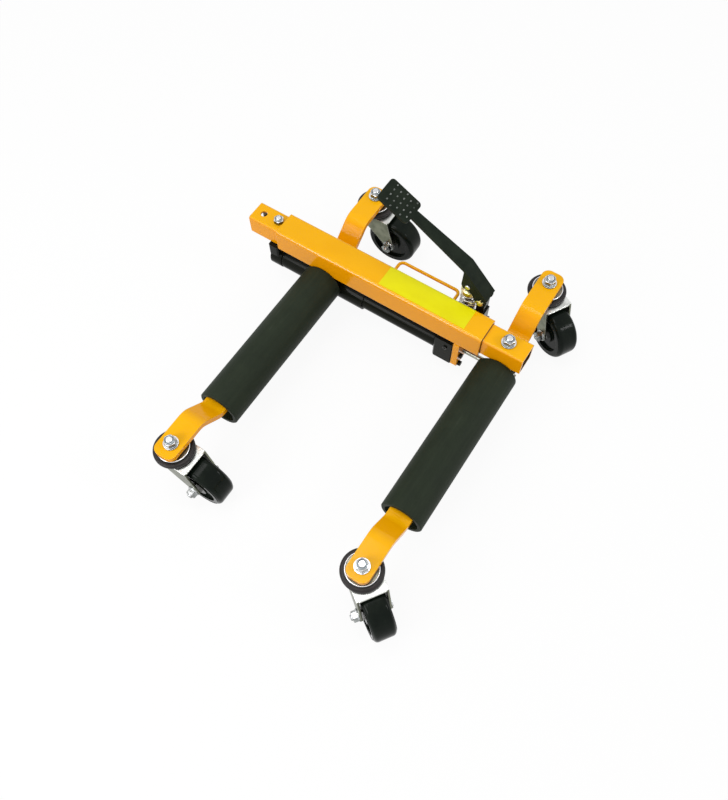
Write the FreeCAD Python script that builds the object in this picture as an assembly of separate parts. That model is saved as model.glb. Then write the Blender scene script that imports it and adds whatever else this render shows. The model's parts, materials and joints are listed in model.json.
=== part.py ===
import FreeCAD, Part
import math
import os
from FreeCAD import Placement, Rotation, Vector

# A foot-pumped vehicle positioning jack: a telescoping tube with two cross arms, each arm with a
# loose roller for the tyre and a swivel caster at either end. Millimetres, +X along the tube towards
# the sliding end, +Y towards the pedal, +Z up from the floor.

# Where the frame's origin lies: the footprint's middle, on the floor
tube_left_x = -250.055
tube_y = 167.205

# Telescoping tube
outer_size = 53.0
outer_wall = 4.5
outer_length = 434.0
outer_corner = 6.0
slide_gap = 0.5
inner_wall = 4.0
inner_corner = 4.5
inner_to_stub = 70.0
inner_past_arm = 38.7
stub_outside = 66.0
stub_inside = 60.0
spare_hole_radius = 6.5
spare_hole_from_tube = 46.0
slide_travel = 150.0

# Cross arms, flat bar bent up at both ends
bar_width = 42.0
bar_thickness = 10.0
bar_bend_radius = 28.0
arm_rise = 36.5
slope_run = 42.0
front_bend_to_stem = 55.5
rear_bend_to_stem = 64.0
front_stem = 458.5
rear_stem = 157.1
left_front_tip = 27.0
left_rear_tip = 21.5
right_front_tip = 23.5
right_rear_tip = 26.5
tip_corner = 14.0
left_arm_from_end = 102.3
right_arm_from_tube = 40.4

# Rollers, loose on the arms
roller_diameter = 78.0
roller_wall = 7.5
roller_hang_gap = 0.3
left_roller_gap = 1.0
right_roller_gap = 0.6
roller_front_gap = 1.0
roller_edge = 1.5

# Bolts
bolt_gap = 0.2
chamfer = 1.0
hex_chamfer_angle = 30.0
hex_face_share = 0.97
washer_thickness = 2.5
stem_radius = 6.0
stem_across = 19.0
stem_head_height = 8.0
stem_nut_height = 10.0
stem_end = 4.0
stem_washer_radius = 13.0
anchor_radius = 5.0
anchor_across = 17.0
anchor_nut_height = 8.0
anchor_end = 3.5
anchor_from_tube = 11.5

# Casters
wheel_diameter = 101.6
wheel_top_room = 4.0
wheel_width = 40.0
tyre_round = 8.0
tread_depth = 14.0
web_recess = 5.0
hub_radius = 19.0
hub_inset = 0.5
caster_trail = 47.0
fork_gap = 3.5
fork_plate = 3.5
fork_shoulder_past_leg = 4.0
fork_shoulder_thickness = 7.0
fork_hood_reach = 42.0
fork_neck_inset = 7.0
fork_neck_height = 8.0
fork_eye_radius = 11.5
swivel_gap = 0.4
race_radius = 28.0
race_thickness = 5.0
race_boss_radius = 15.0
race_boss_height = 4.5
ring_wall = 7.3
ring_drop = 8.0
ring_gap = 0.9
ring_round = 4.0
axle_radius = 5.0
axle_across = 17.0
axle_head_radius = 8.5
axle_head_height = 3.0
axle_washer_radius = 10.0
axle_nut_height = 8.0
axle_end = 3.0
bush_radius = 9.0
bush_flange_radius = 11.5
running_gap = 0.05
front_left_trail_angle = -0.4
front_right_trail_angle = -34.3
rear_left_trail_angle = 0.7
rear_right_trail_angle = -30.1

# Ram under the tube
ram_offset_y = 2.0
ram_under_bar = 9.4
cylinder_radius = 24.0
cylinder_wall = 4.0
cylinder_start = 3.0
cap_length = 26.0
cap_past_cylinder = 1.0
cap_neck = 2.0
cap_neck_step = 2.0
bracket_saddle = 1.5
bracket_inset = 3.0
bracket_front = 29.0
bracket_back = 16.0
bracket_thread_cover = 4.0
bracket_round = 4.0
reservoir_radius = 20.5
reservoir_wall = 3.5
gland_length = 10.0
rod_radius = 5.0
rod_clearance = 0.3
piston_length = 18.0
piston_gap = 0.3
piston_end_room = 5.0
piston_spare = 1.0
seal_width = 5.0
seal_depth = 3.0
fit_gap = 0.05

# Pump block and the lug that holds it
lug_setback = 36.5
lug_thickness = 12.0
lug_under_screw = 5.6
lug_chamfer = 6.0
block_length = 40.5
block_front = 25.5
block_top_drop = 10.0
block_above_lug_end = 1.0
block_chamfer = 3.0
ledge_length = 24.0
ledge_height = 25.0
screw_radius = 3.0
screw_head_radius = 5.0
screw_head_height = 6.0
screw_socket = 5.0
screw_reach = 14.0
screw_to_rod_gap = 5.5
screw_above_ram = 3.0
screw_below_ram = 24.0
valve_radius = 4.0
valve_length = 16.0
valve_proud = 2.5
valve_socket = 4.5
valve_from_pump = 2.3
valve_above_ram = 17.4

# Pump and pedal
pump_off_middle = 2.5
pump_behind = 23.5
block_behind_pump = 16.0
plunger_radius = 7.0
plunger_depth = 36.0
plunger_spare = 4.0
barrel_radius = 15.0
barrel_height = 15.0
cup_radius = 15.5
cup_skirt = 9.0
cup_dome = 3.0
cup_top_radius = 9.0
cup_below_top = 10.0
spring_wire = 3.0
spring_mean_radius = 13.5
spring_turns = 5
spring_seat_gap = 0.1
spring_samples_per_turn = 48
pedal_travel = 24.0
plunger_per_radian = 33.0
fulcrum_from_pump = 28.7
fulcrum_up = 36.0
fulcrum_pin_radius = 4.0
fulcrum_head_radius = 6.4
post_head_gap = 4.0
post_side_gap = 0.6
post_foot_reach = 10.5
post_foot_height = 40.0
push_pin_radius = 5.0
push_pin_from_pump = 1.0
push_pin_up = 25.5
push_gap = 0.3
pin_end = 2.5
knee_back = 38.5
knee_up = 64.5
heel_out = 12.0
heel_up = 11.5
lever_width = 29.0
lever_neck_width = 18.5
lever_thickness = 5.0
lever_bend_radius = 14.0
arm_length = 191.5
arm_angle = 27.7
pad_length = 66.5
pad_width = 49.0
pad_corner = 7.0
cheek_thickness = 4.0
cheek_boss_radius = 10.5
cheek_reach = 8.0
cheek_below_pin = 8.0
stud_radius = 1.9
stud_top_radius = 1.1
stud_height = 1.3
stud_rows = 5
stud_across = 4
stud_pitch = 11.0
stud_side_pitch = 11.2
stud_margin = 15.0
clip_wire = 0.9
clip_radius = 5.0

# Carry handle and head of the carriage
handle_rod = 6.0
handle_bend = 9.0
handle_to_pump_gap = 2.7
handle_length = 130.0
handle_projection = 34.7
handle_up = 3.0
anchor_plate = 6.0
anchor_flange = 7.4
anchor_half_width = 20.0
rod_nut_across = 16.0
rod_nut_height = 6.0
rod_end = 3.0

# Slack used when picking edges and faces by their size
pick = 0.1

# Places that follow from the sizes
wheel_radius = wheel_diameter / 2
leg_inner = wheel_width / 2 + fork_gap
leg_outer = leg_inner + fork_plate
shoulder_bottom_z = wheel_diameter + wheel_top_room
shoulder_top_z = shoulder_bottom_z + fork_shoulder_thickness
neck_top_z = shoulder_top_z + fork_neck_height
race_bottom_z = neck_top_z + swivel_gap
caster_top_z = race_bottom_z + race_thickness + race_boss_height
fork_shoulder_radius = leg_outer + fork_shoulder_past_leg
fork_neck_radius = race_radius - fork_neck_inset
ring_radius = race_radius + bolt_gap + ring_wall
ring_bottom_z = shoulder_top_z + ring_gap
ring_height = caster_top_z - ring_drop - ring_bottom_z
outer_bore = outer_size - 2 * outer_wall
inner_size = outer_bore - 2 * slide_gap
arm_top_z = caster_top_z + bar_thickness
tube_z = arm_top_z - arm_rise + outer_size / 2
bar_top_z = tube_z - outer_size / 2
bar_bottom_z = bar_top_z - bar_thickness
tube_top_z = tube_z + outer_size / 2
tube_right_x = tube_left_x + outer_length
tube_front_y = tube_y - outer_size / 2
tube_back_y = tube_y + outer_size / 2
left_arm_x = tube_left_x + left_arm_from_end
right_arm_x = tube_right_x + right_arm_from_tube
front_stem_y = tube_y - front_stem
rear_stem_y = tube_y + rear_stem
front_knee_y = front_stem_y + front_bend_to_stem
rear_knee_y = rear_stem_y - rear_bend_to_stem
inner_top_z = tube_z + inner_size / 2
inner_bottom_z = tube_z - inner_size / 2
ram_y = tube_y - ram_offset_y
ram_z = bar_bottom_z - ram_under_bar - cylinder_radius
cylinder_length = piston_end_room + piston_length + slide_travel + piston_spare + gland_length
cylinder_left_x = tube_left_x + cylinder_start
cylinder_right_x = cylinder_left_x + cylinder_length
cylinder_bore = cylinder_radius - cylinder_wall
cap_radius = cylinder_radius + cap_past_cylinder
anchor_x = tube_left_x - anchor_from_tube
bracket_drop = inner_bottom_z - (ram_z + cap_radius - bracket_saddle)
lug_bottom_z = ram_z - screw_below_ram - lug_under_screw
lug_right_x = tube_right_x - lug_setback
lug_left_x = lug_right_x - lug_thickness
block_left_x = lug_left_x - block_length
block_front_y = tube_y - block_front
block_top_z = bar_top_z - block_top_drop
block_bottom_z = lug_bottom_z + block_above_lug_end
block_height = block_top_z - block_bottom_z
pump_x = (block_left_x + lug_left_x) / 2 + pump_off_middle
pump_y = tube_back_y + pump_behind
block_back_y = pump_y + block_behind_pump
barrel_top_z = block_top_z + barrel_height
fulcrum_x = pump_x + fulcrum_from_pump
fulcrum_z = tube_z + fulcrum_up
push_pin_x = pump_x + push_pin_from_pump
push_pin_z = fulcrum_z + push_pin_up
plunger_top_z = push_pin_z - push_pin_radius - push_gap
cup_top_z = plunger_top_z - cup_below_top
cup_bottom_z = cup_top_z - cup_dome - cup_skirt
valve_x = pump_x + valve_from_pump
valve_z = ram_z + valve_above_ram
roller_bore = roller_diameter / 2 - roller_wall
roller_z = bar_top_z - math.sqrt((roller_bore - roller_hang_gap) ** 2 - (bar_width / 2) ** 2)
bend_angle = math.atan2(arm_rise, slope_run)
bend_start = bar_bend_radius * math.tan(bend_angle / 2)
left_roller_back_y = ram_y - cylinder_radius - left_roller_gap
left_roller_front_y = front_knee_y + slope_run + bend_start + roller_front_gap
roller_length = left_roller_back_y - left_roller_front_y
right_roller_front_y = tube_y - inner_size / 2 - right_roller_gap - roller_length
drop_angle = math.atan2(knee_up - heel_up, knee_back + heel_out)
post_half_length = (heel_out * math.sin(drop_angle) + heel_up * math.cos(drop_angle)
                    - lever_thickness - post_head_gap)

east = Vector(1, 0, 0)
north = Vector(0, 1, 0)
up = Vector(0, 0, 1)


def box(x0, x1, y0, y1, z0, z1):
    """A block between two corners."""
    return Part.makeBox(x1 - x0, y1 - y0, z1 - z0, Vector(x0, y0, z0))


def rod(start, direction, radius, length):
    """A plain round bar."""
    return Part.makeCylinder(radius, length, start, direction)


def ring(start, direction, outer, inner, length):
    """A round sleeve."""
    return rod(start, direction, outer, length).cut(rod(start, direction, inner, length))


def stood(shape, start, direction):
    """A shape made along +Z from the origin, set at start along direction."""
    shape.Placement = Placement(start, Rotation(up, direction))
    return shape


def hexagon(start, direction, across, length):
    """A hexagon bar with its outer end's corners turned off."""
    corner = across / math.sqrt(3)
    angles = [k * math.pi / 3 for k in range(7)]
    points = [Vector(corner * math.cos(a), corner * math.sin(a), 0) for a in angles]
    bar = Part.Face(Part.makePolygon(points)).extrude(up * length)
    end_radius = across / 2 * hex_face_share
    widening = length / math.tan(math.radians(hex_chamfer_angle))
    turned = Part.makeCone(end_radius + widening, end_radius, length)
    return stood(bar.common(turned), start, direction)


def bolt(start, direction, radius, length, across, head):
    """A hexagon-headed bolt: start is under the head, and the head lies behind start."""
    shank = rod(start, direction, radius, length - chamfer)
    tip = Part.makeCone(radius, radius - chamfer, chamfer, start + direction * (length - chamfer), direction)
    return hexagon(start, -direction, across, head).fuse([shank, tip]).removeSplitter()


def nut(start, direction, across, height, bore):
    """A hexagon nut standing on start."""
    return hexagon(start, direction, across, height).cut(rod(start, direction, bore, height))


def rounded_rectangle(width, height, corner):
    """A face in the XY plane about the origin."""
    sheet = Part.makePlane(width, height, Vector(-width / 2, -height / 2, 0))
    block = sheet.extrude(up)
    upright = [e for e in block.Edges if e.BoundBox.ZLength > 1 - pick]
    rounded = block.makeFillet(corner, upright)
    return [f for f in rounded.Faces if f.BoundBox.ZMax < pick][0]


def square_tube(x0, x1, size, wall, corner):
    """A square tube along the tube's centre line."""
    shell = rounded_rectangle(size, size, corner).extrude(up * (x1 - x0))
    inside = rounded_rectangle(size - 2 * wall, size - 2 * wall, max(corner - wall, chamfer / 2))
    tube = shell.cut(inside.extrude(up * (x1 - x0)))
    tube.Placement = Placement(Vector(x0, tube_y, tube_z), Rotation(Vector(0, 0, -1), north, east))
    return tube


def bent_strip(points, thickness, bend, to_space):
    """A face of even thickness about a bent line: points are (along, height) pairs."""
    line = [Vector(a, b, 0) for a, b in points]
    way = [(line[i + 1] - line[i]).normalize() for i in range(len(line) - 1)]
    normal = [Vector(-d.y, d.x, 0) for d in way]
    sides = []
    for side in (thickness / 2, -thickness / 2):
        edges = []
        last = line[0] + normal[0] * side
        for i in range(1, len(line) - 1):
            turn = way[i - 1].getAngle(way[i])
            reach = bend * math.tan(turn / 2)
            leftward = way[i - 1].cross(way[i]).z > 0
            centre = line[i] - way[i - 1] * reach + normal[i - 1] * (bend if leftward else -bend)
            first = line[i] - way[i - 1] * reach + normal[i - 1] * side
            second = line[i] + way[i] * reach + normal[i] * side
            middle = centre + (line[i] - centre).normalize() * (first - centre).Length
            edges.append(Part.LineSegment(to_space(last), to_space(first)).toShape())
            edges.append(Part.Arc(to_space(first), to_space(middle), to_space(second)).toShape())
            last = second
        final = line[-1] + normal[-1] * side
        edges.append(Part.LineSegment(to_space(last), to_space(final)).toShape())
        sides.append((edges, line[0] + normal[0] * side, final))
    (top, top_start, top_end), (bottom, bottom_start, bottom_end) = sides
    closing = [Part.LineSegment(to_space(top_end), to_space(bottom_end)).toShape(),
               Part.LineSegment(to_space(top_start), to_space(bottom_start)).toShape()]
    return Part.Face(Part.Wire(Part.__sortEdges__(top + bottom + closing)))


def prism(points, y0, y1):
    """A plate between two heights of Y, from (x, z) corners."""
    corners = [Vector(x, y0, z) for x, z in points]
    return Part.Face(Part.makePolygon(corners + corners[:1])).extrude(north * (y1 - y0))


parts = {}

# The telescoping tube and its fixed stub
inner_right_x = right_arm_x + inner_past_arm
parts["outer_tube"] = square_tube(tube_left_x, tube_right_x, outer_size, outer_wall, outer_corner)

stub = square_tube(tube_left_x - stub_outside, tube_left_x + stub_inside, inner_size, inner_wall,
                   inner_corner)
spare_foot = Vector(tube_left_x - spare_hole_from_tube, tube_y, inner_bottom_z)
spare_hole = rod(spare_foot, up, spare_hole_radius, inner_size)
anchor_hole = rod(Vector(anchor_x, tube_y, inner_bottom_z), up, anchor_radius + bolt_gap, inner_size)
parts["fixed_stub"] = stub.cut([spare_hole, anchor_hole])

inner_left_x = tube_left_x + stub_inside + inner_to_stub
inner = square_tube(inner_left_x, inner_right_x, inner_size, inner_wall, inner_corner)
head_foot = Vector(right_arm_x, tube_y, inner_bottom_z)
parts["inner_tube"] = inner.cut(rod(head_foot, up, stem_radius + bolt_gap, inner_size))


# The cross arms
def cross_arm(x, front_tip, rear_tip, holes):
    """A flat bar bent up at both ends, with rounded tips and stem holes."""
    middle_low = bar_top_z - bar_thickness / 2
    middle_high = arm_top_z - bar_thickness / 2
    front_tip_y = front_stem_y - front_tip
    rear_tip_y = rear_stem_y + rear_tip
    route = [(front_tip_y, middle_high), (front_knee_y, middle_high),
             (front_knee_y + slope_run, middle_low), (rear_knee_y - slope_run, middle_low),
             (rear_knee_y, middle_high), (rear_tip_y, middle_high)]
    face = bent_strip(route, bar_thickness, bar_bend_radius, lambda p: Vector(x - bar_width / 2, p.x, p.y))
    bar = face.extrude(east * bar_width)
    plan = rounded_rectangle(bar_width, rear_tip_y - front_tip_y, tip_corner)
    plan.translate(Vector(x, (rear_tip_y + front_tip_y) / 2, 0))
    bar = bar.common(plan.extrude(up * arm_top_z))
    return bar.cut([rod(Vector(x, y, 0), up, stem_radius + bolt_gap, arm_top_z) for y in holes])


parts["left_arm"] = cross_arm(left_arm_x, left_front_tip, left_rear_tip, (front_stem_y, rear_stem_y))
parts["right_arm"] = cross_arm(right_arm_x, right_front_tip, right_rear_tip,
                               (front_stem_y, tube_y, rear_stem_y))


# The rollers, which hang on the bars' upper edges
def roller(x, front_y):
    """A loose tube with broken edges."""
    tube = ring(Vector(x, front_y, roller_z), north, roller_diameter / 2, roller_bore, roller_length)
    ends = [e for e in tube.Edges if e.BoundBox.YLength < pick]
    outer_ends = [e for e in ends if e.BoundBox.XLength > roller_diameter - pick]
    return tube.makeChamfer(roller_edge, outer_ends)


parts["left_roller"] = roller(left_arm_x, left_roller_front_y)
parts["right_roller"] = roller(right_arm_x, right_roller_front_y)

# The carry handle, a rod loop on the tube's back
handle_x1 = pump_x - cup_radius - handle_to_pump_gap - handle_rod / 2
handle_x0 = handle_x1 + handle_rod - handle_length
handle_z = tube_z + handle_up
handle_y = tube_back_y + handle_projection - handle_rod / 2
half_turn = handle_bend * (1 - math.sqrt(0.5))
loop = Part.Wire([
    Part.LineSegment(Vector(handle_x0, tube_back_y, handle_z),
                     Vector(handle_x0, handle_y - handle_bend, handle_z)).toShape(),
    Part.Arc(Vector(handle_x0, handle_y - handle_bend, handle_z),
             Vector(handle_x0 + half_turn, handle_y - half_turn, handle_z),
             Vector(handle_x0 + handle_bend, handle_y, handle_z)).toShape(),
    Part.LineSegment(Vector(handle_x0 + handle_bend, handle_y, handle_z),
                     Vector(handle_x1 - handle_bend, handle_y, handle_z)).toShape(),
    Part.Arc(Vector(handle_x1 - handle_bend, handle_y, handle_z),
             Vector(handle_x1 - half_turn, handle_y - half_turn, handle_z),
             Vector(handle_x1, handle_y - handle_bend, handle_z)).toShape(),
    Part.LineSegment(Vector(handle_x1, handle_y - handle_bend, handle_z),
                     Vector(handle_x1, tube_back_y, handle_z)).toShape()])
handle_section = Part.Wire(Part.makeCircle(handle_rod / 2, Vector(handle_x0, tube_back_y, handle_z), north))
parts["carry_handle"] = loop.makePipeShell([handle_section], True, False)

# The ram's left end: bracket, anchor bolt and cap
cap_left_x = cylinder_left_x - cap_neck - cap_length
ram_start = Vector(cap_left_x, ram_y, ram_z)
bracket = box(cap_left_x + bracket_inset, tube_left_x, tube_y - bracket_front, tube_y + bracket_back,
              inner_bottom_z - bracket_drop, inner_bottom_z)
anchor_depth = bracket_drop - bracket_thread_cover
anchor_foot = Vector(anchor_x, tube_y, inner_bottom_z - anchor_depth)
bracket_uprights = [e for e in bracket.Edges if e.BoundBox.ZLength > bracket_drop - pick]
bracket = bracket.makeFillet(bracket_round, bracket_uprights)
bracket = bracket.cut([rod(ram_start, east, cap_radius, cap_length),
                       rod(anchor_foot, up, anchor_radius + bolt_gap, anchor_depth)])
parts["ram_bracket"] = bracket
anchor_length = anchor_depth + inner_size + anchor_nut_height + anchor_end
anchor_stud = rod(anchor_foot, up, anchor_radius, anchor_length - chamfer)
anchor_tip = Part.makeCone(anchor_radius, anchor_radius - chamfer, chamfer,
                           anchor_foot + up * (anchor_length - chamfer), up)
anchor_nut = nut(Vector(anchor_x, tube_y, inner_top_z), up, anchor_across, anchor_nut_height, anchor_radius)
parts["anchor_bolt"] = Part.makeCompound([anchor_stud.fuse(anchor_tip).removeSplitter(), anchor_nut])

cap = rod(ram_start, east, cap_radius, cap_length)
cap = cap.makeChamfer(chamfer, [e for e in cap.Edges if e.BoundBox.XLength < pick])
neck = rod(ram_start + east * cap_length, east, cylinder_radius - cap_neck_step, cap_neck)
parts["ram_end_cap"] = cap.fuse(neck).removeSplitter()

# The ram's cylinder, its gland, and the reservoir tube
parts["ram_cylinder"] = ring(Vector(cylinder_left_x, ram_y, ram_z), east, cylinder_radius, cylinder_bore,
                             cylinder_length)
parts["rod_gland"] = ring(Vector(cylinder_right_x - gland_length, ram_y, ram_z), east,
                          cylinder_bore - fit_gap, rod_radius + running_gap, gland_length)
parts["ram_reservoir"] = ring(Vector(cylinder_right_x, ram_y, ram_z), east, reservoir_radius,
                              reservoir_radius - reservoir_wall, block_left_x - cylinder_right_x)

# The piston and its rod, which pull the carriage in
piston_x = cylinder_left_x + piston_end_room
rod_right_x = right_arm_x + bar_width / 2 + rod_nut_height + rod_end
parts["piston_rod"] = rod(Vector(piston_x, ram_y, ram_z), east, rod_radius, rod_right_x - piston_x)
piston = ring(Vector(piston_x, ram_y, ram_z), east, cylinder_bore - piston_gap, rod_radius + fit_gap,
              piston_length)
seal_start = Vector(piston_x + (piston_length - seal_width) / 2, ram_y, ram_z)
seal_inner = cylinder_bore - piston_gap - seal_depth
parts["piston"] = piston.cut(ring(seal_start, east, cylinder_bore, seal_inner, seal_width))
parts["piston_seal"] = ring(seal_start + east * fit_gap, east, cylinder_bore - running_gap,
                            seal_inner + fit_gap, seal_width - 2 * fit_gap)

# The carriage's head: spacer, head bolt and the rod's anchor
head_left_x = right_arm_x - bar_width / 2
head_right_x = right_arm_x + bar_width / 2
head_hole = rod(Vector(right_arm_x, tube_y, 0), up, stem_radius + bolt_gap, tube_top_z)
parts["arm_spacer"] = box(head_left_x, head_right_x, tube_y - inner_size / 2 + inner_corner,
                          tube_y + inner_size / 2 - inner_corner, bar_top_z, inner_bottom_z).cut(head_hole)
plate_bottom_z = bar_bottom_z - anchor_plate
flange_bottom_z = ram_z - rod_nut_across
flange_left_x = head_right_x - anchor_flange
rod_hole = rod(Vector(flange_left_x, ram_y, ram_z), east, rod_radius + bolt_gap, anchor_flange)
plate = box(head_left_x, head_right_x, tube_y - anchor_half_width, tube_y + anchor_half_width,
            plate_bottom_z, bar_bottom_z).cut(head_hole)
flange = box(flange_left_x, head_right_x, tube_y - anchor_half_width, tube_y + anchor_half_width,
             flange_bottom_z, plate_bottom_z)
parts["rod_anchor"] = plate.fuse(flange.cut(rod_hole)).removeSplitter()
head_grip = inner_top_z - plate_bottom_z
head_length = head_grip + washer_thickness + stem_nut_height + stem_end
head_start = Vector(right_arm_x, tube_y, plate_bottom_z)
head_top = Vector(right_arm_x, tube_y, inner_top_z)
head_bolt = bolt(head_start, up, stem_radius, head_length, stem_across, stem_head_height)
head_washer = ring(head_top, up, stem_washer_radius, stem_radius, washer_thickness)
head_nut = nut(head_top + up * washer_thickness, up, stem_across, stem_nut_height, stem_radius)
parts["head_bolt"] = Part.makeCompound([head_bolt, head_washer, head_nut])
parts["rod_nuts"] = Part.makeCompound([
    nut(Vector(flange_left_x, ram_y, ram_z), -east, rod_nut_across, rod_nut_height, rod_radius),
    nut(Vector(head_right_x, ram_y, ram_z), east, rod_nut_across, rod_nut_height, rod_radius)])

# The lug that takes the ram's force, with its socket screws
lug_outline = [(tube_front_y, bar_top_z), (tube_back_y, bar_top_z),
               (tube_back_y, lug_bottom_z + lug_chamfer), (tube_back_y - lug_chamfer, lug_bottom_z),
               (tube_front_y + lug_chamfer, lug_bottom_z), (tube_front_y, lug_bottom_z + lug_chamfer)]
lug_corners = [Vector(lug_left_x, y, z) for y, z in lug_outline]
lug = Part.Face(Part.makePolygon(lug_corners + lug_corners[:1])).extrude(east * lug_thickness)
screw_half_pitch = ram_offset_y + rod_radius + screw_to_rod_gap + screw_head_radius
screw_places = [(tube_y + side * screw_half_pitch, ram_z + lift)
                for side in (-1, 1) for lift in (screw_above_ram, -screw_below_ram)]
screw_length = screw_reach + lug_thickness
screw_holes = [rod(Vector(lug_left_x - screw_reach, y, z), east, screw_radius + bolt_gap, screw_length)
               for y, z in screw_places]
lug_rod_hole = rod(Vector(lug_left_x, ram_y, ram_z), east, rod_radius + rod_clearance, lug_thickness)
parts["reaction_lug"] = lug.cut(screw_holes + [lug_rod_hole])
screws = []
for y, z in screw_places:
    head = rod(Vector(lug_right_x, y, z), east, screw_head_radius, screw_head_height)
    shank = rod(Vector(lug_left_x - screw_reach, y, z), east, screw_radius, screw_length)
    socket_mouth = Vector(lug_right_x + screw_head_height, y, z)
    socket = hexagon(socket_mouth, -east, screw_socket, screw_head_height / 2)
    screws.append(head.fuse(shank).removeSplitter().cut(socket))
parts["lug_screws"] = Part.makeCompound(screws)

# The pump block, its ledge behind the tube, and the release valve
block = box(block_left_x, lug_left_x, block_front_y, block_back_y, block_bottom_z, block_top_z)
block_uprights = [e for e in block.Edges if e.BoundBox.ZLength > block_height - pick]
block = block.makeChamfer(block_chamfer, [e for e in block_uprights if e.BoundBox.YMax < tube_y])
ledge = box(lug_left_x, lug_left_x + ledge_length, pump_y - block_behind_pump, block_back_y,
            block_top_z - ledge_height, block_top_z)
plunger_travel = plunger_per_radian * math.radians(pedal_travel)
plunger_bottom_z = block_top_z - plunger_depth
plunger_bore = rod(Vector(pump_x, pump_y, plunger_bottom_z - plunger_travel - plunger_spare), up,
                   plunger_radius + running_gap, plunger_depth + plunger_travel + plunger_spare)
rod_bore = rod(Vector(block_left_x, ram_y, ram_z), east, rod_radius + rod_clearance, block_length)
valve_bore = rod(Vector(valve_x, block_front_y, valve_z), north, valve_radius + running_gap, valve_length)
block = block.fuse(ledge).removeSplitter()
parts["pump_block"] = block.cut(screw_holes + [plunger_bore, rod_bore, valve_bore])
valve_start = Vector(valve_x, block_front_y - valve_proud, valve_z)
valve = rod(valve_start, north, valve_radius, valve_proud + valve_length)
valve_mouth = hexagon(valve_start, north, valve_socket, valve_proud * 2)
parts["release_valve"] = valve.cut(valve_mouth)

# The pump's barrel, plunger, spring cup and return spring
pump_axis = Vector(pump_x, pump_y, 0)
parts["pump_barrel"] = ring(pump_axis + up * block_top_z, up, barrel_radius, plunger_radius + running_gap,
                            barrel_height)
parts["pump_plunger"] = rod(pump_axis + up * plunger_bottom_z, up, plunger_radius,
                            plunger_top_z - plunger_bottom_z)
skirt = rod(pump_axis + up * cup_bottom_z, up, cup_radius, cup_skirt)
dome = Part.makeCone(cup_radius, cup_top_radius, cup_dome, pump_axis + up * (cup_bottom_z + cup_skirt), up)
cup_bore = rod(pump_axis + up * cup_bottom_z, up, plunger_radius + fit_gap, cup_skirt + cup_dome)
parts["spring_cup"] = skirt.fuse(dome).removeSplitter().cut(cup_bore)

spring_low = barrel_top_z + spring_wire / 2 + spring_seat_gap
spring_high = cup_bottom_z - spring_wire / 2 - spring_seat_gap
spring_pitch = (spring_high - spring_low) / spring_turns


def spring_point(turn):
    """A point on the spring's middle line, by turns from its lower end."""
    angle = 2 * math.pi * turn
    return pump_axis + Vector(spring_mean_radius * math.cos(angle), spring_mean_radius * math.sin(angle),
                              spring_low + spring_pitch * turn)


def spring_way(turn):
    """The unit direction of the spring's middle line."""
    angle = 2 * math.pi * turn
    around = 2 * math.pi * spring_mean_radius
    return Vector(-around * math.sin(angle), around * math.cos(angle), spring_pitch).normalize()


def tangent_arc(start, corner, end):
    """The arc that touches start-corner at start and corner-end at end."""
    chord = (start + end) * 0.5
    half = (end - start).Length / 2
    lean = math.atan2((corner - chord).Length, half)
    return Part.Arc(start, chord + (corner - chord).normalize() * (half * math.tan(lean / 2)), end).toShape()


def biarc(turn_a, turn_b):
    """Two arcs that follow the spring's line between two turns."""
    start, end = spring_point(turn_a), spring_point(turn_b)
    way_a, way_b = spring_way(turn_a), spring_way(turn_b)
    span = end - start
    both = way_a + way_b
    square = 2 * way_a.dot(way_b) - 2
    slope = -2 * span.dot(both)
    root = math.sqrt(slope ** 2 - 4 * square * span.dot(span))
    reach = (-slope - root) / (2 * square)
    corner_a = start + way_a * reach
    corner_b = end - way_b * reach
    joint = (corner_a + corner_b) * 0.5
    return [tangent_arc(start, corner_a, joint), tangent_arc(joint, corner_b, end)]


spring_edges = []
for quarter in range(4 * spring_turns):
    spring_edges += biarc(quarter / 4, (quarter + 1) / 4)
spring_section = Part.Wire(Part.makeCircle(spring_wire / 2, spring_point(0), spring_way(0)))
parts["return_spring"] = Part.Wire(spring_edges).makePipeShell([spring_section], True, False)
sample_count = spring_samples_per_turn * spring_turns + 1
samples = [spring_point(k / spring_samples_per_turn) for k in range(sample_count)]
half_turn_on = spring_samples_per_turn // 2
least = min((a - b).Length for i, a in enumerate(samples) for b in samples[i + half_turn_on:])
print("spring least gap to itself, mm:", round(least - spring_wire, 2))

# The pedal's pivot: post on the ledge, pin and clip
lever_y0 = pump_y - lever_width / 2
lever_y1 = pump_y + lever_width / 2
post_y0 = lever_y0 + cheek_thickness + post_side_gap
post_y1 = lever_y1 - cheek_thickness - post_side_gap
fulcrum = Vector(fulcrum_x, post_y0, fulcrum_z)
post = box(fulcrum_x - post_half_length, fulcrum_x + post_half_length, post_y0, post_y1,
           block_top_z, fulcrum_z)
post_head = rod(fulcrum, north, post_half_length, post_y1 - post_y0)
post_foot = box(fulcrum_x - post_half_length, fulcrum_x + post_foot_reach, post_y0, post_y1,
                block_top_z, block_top_z + post_foot_height)
pin_hole = rod(fulcrum, north, fulcrum_pin_radius + fit_gap, post_y1 - post_y0)
parts["fulcrum_post"] = post.fuse([post_head, post_foot]).removeSplitter().cut(pin_hole)
pin_reach = clip_radius / 2 + 2 * clip_wire
fulcrum_pin_start = Vector(fulcrum_x, lever_y0 - pin_reach, fulcrum_z)
fulcrum_pin = rod(fulcrum_pin_start, north, fulcrum_pin_radius, lever_width + pin_reach + post_side_gap)
pin_head = rod(Vector(fulcrum_x, lever_y1 + post_side_gap, fulcrum_z), north, fulcrum_head_radius, pin_end)
clip_place = Vector(fulcrum_x, lever_y0 - pin_reach / 2, fulcrum_z)
clip = Part.makeTorus(fulcrum_pin_radius + clip_wire + fit_gap, clip_wire, clip_place, north)
parts["fulcrum_pin"] = Part.makeCompound([fulcrum_pin.fuse(pin_head).removeSplitter(), clip])

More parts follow.
